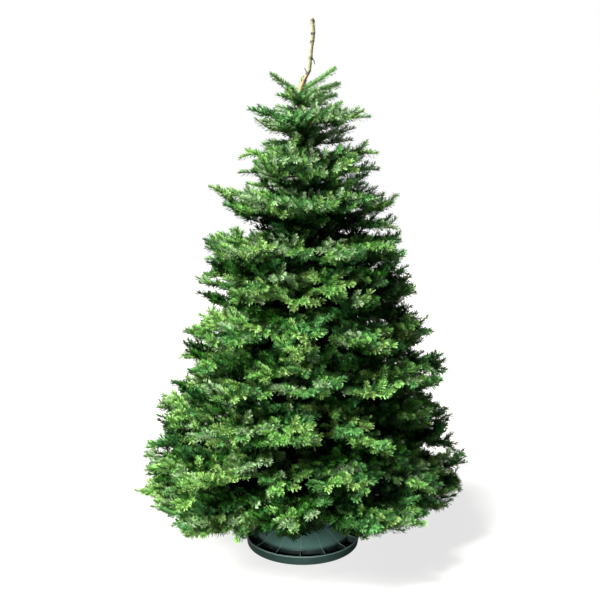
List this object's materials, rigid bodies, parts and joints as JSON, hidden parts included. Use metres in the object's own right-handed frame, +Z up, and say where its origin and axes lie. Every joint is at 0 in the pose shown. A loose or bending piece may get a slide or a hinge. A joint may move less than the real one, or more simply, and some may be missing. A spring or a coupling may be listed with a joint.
{
  "type": "cut fir tree in a stand",
  "caption": "Full cut fir tree with tiered drooping boughs of short needles and a bare leader, clamped upright in a round green plastic water stand.",
  "frame": {"origin": "centre of the stand's flat underside, on the floor", "axes": "+Z up along the trunk, -Y towards the front of the tree, +X to its right as seen from the front"},
  "size_m": [1.3446, 1.1744, 2],
  "materials": {
    "bark": "rough grey-brown bark with resin blisters",
    "needles": "waxy green needles, paler at the young tips",
    "stand_plastic": "dark green moulded plastic, satin and lightly scuffed",
    "screw_steel": "zinc plated steel"
  },
  "bodies": {
    "root": {"trunk": "bark", "stand_dish": "stand_plastic", "stand_cup": "stand_plastic", "clamp_screw_1": "screw_steel", "clamp_screw_2": "screw_steel", "clamp_screw_3": "screw_steel", "clamp_screw_4": "screw_steel", "needles_top_whorl": "needles", "needles_tier_2_1": "needles", "needles_tier_2_2": "needles", "needles_tier_2_3": "needles", "needles_tier_3_1": "needles", "needles_tier_3_2": "needles", "needles_tier_3_3": "needles", "needles_tier_4_1": "needles", "needles_tier_4_2": "needles", "needles_tier_4_3": "needles", "needles_tier_5_1": "needles", "needles_tier_5_2": "needles", "needles_tier_5_3": "needles", "needles_tier_6_1": "needles", "needles_tier_6_2": "needles", "needles_tier_6_3": "needles", "needles_tier_7_1": "needles", "needles_tier_7_2": "needles", "needles_tier_7_3": "needles", "needles_tier_7_4": "needles", "needles_tier_8_1": "needles", "needles_tier_8_2": "needles", "needles_tier_8_3": "needles", "needles_tier_8_4": "needles", "needles_tier_9_1": "needles", "needles_tier_9_2": "needles", "needles_tier_9_3": "needles", "needles_tier_9_4": "needles", "needles_tier_10_1": "needles", "needles_tier_10_2": "needles", "needles_tier_10_3": "needles", "needles_tier_10_4": "needles", "needles_tier_11_1": "needles", "needles_tier_11_2": "needles", "needles_tier_11_3": "needles", "needles_tier_11_4": "needles", "bough_tier_8_1": "bark", "bough_tier_8_2": "bark", "bough_tier_8_3": "bark", "bough_tier_8_4": "bark", "bough_tier_9_1": "bark", "bough_tier_9_2": "bark", "bough_tier_9_3": "bark", "bough_tier_9_4": "bark", "bough_tier_10_1": "bark", "bough_tier_10_2": "bark", "bough_tier_10_3": "bark", "bough_tier_10_4": "bark", "bough_tier_11_1": "bark", "bough_tier_11_2": "bark", "bough_tier_11_3": "bark", "bough_tier_11_4": "bark"}
  },
  "joints": []
}
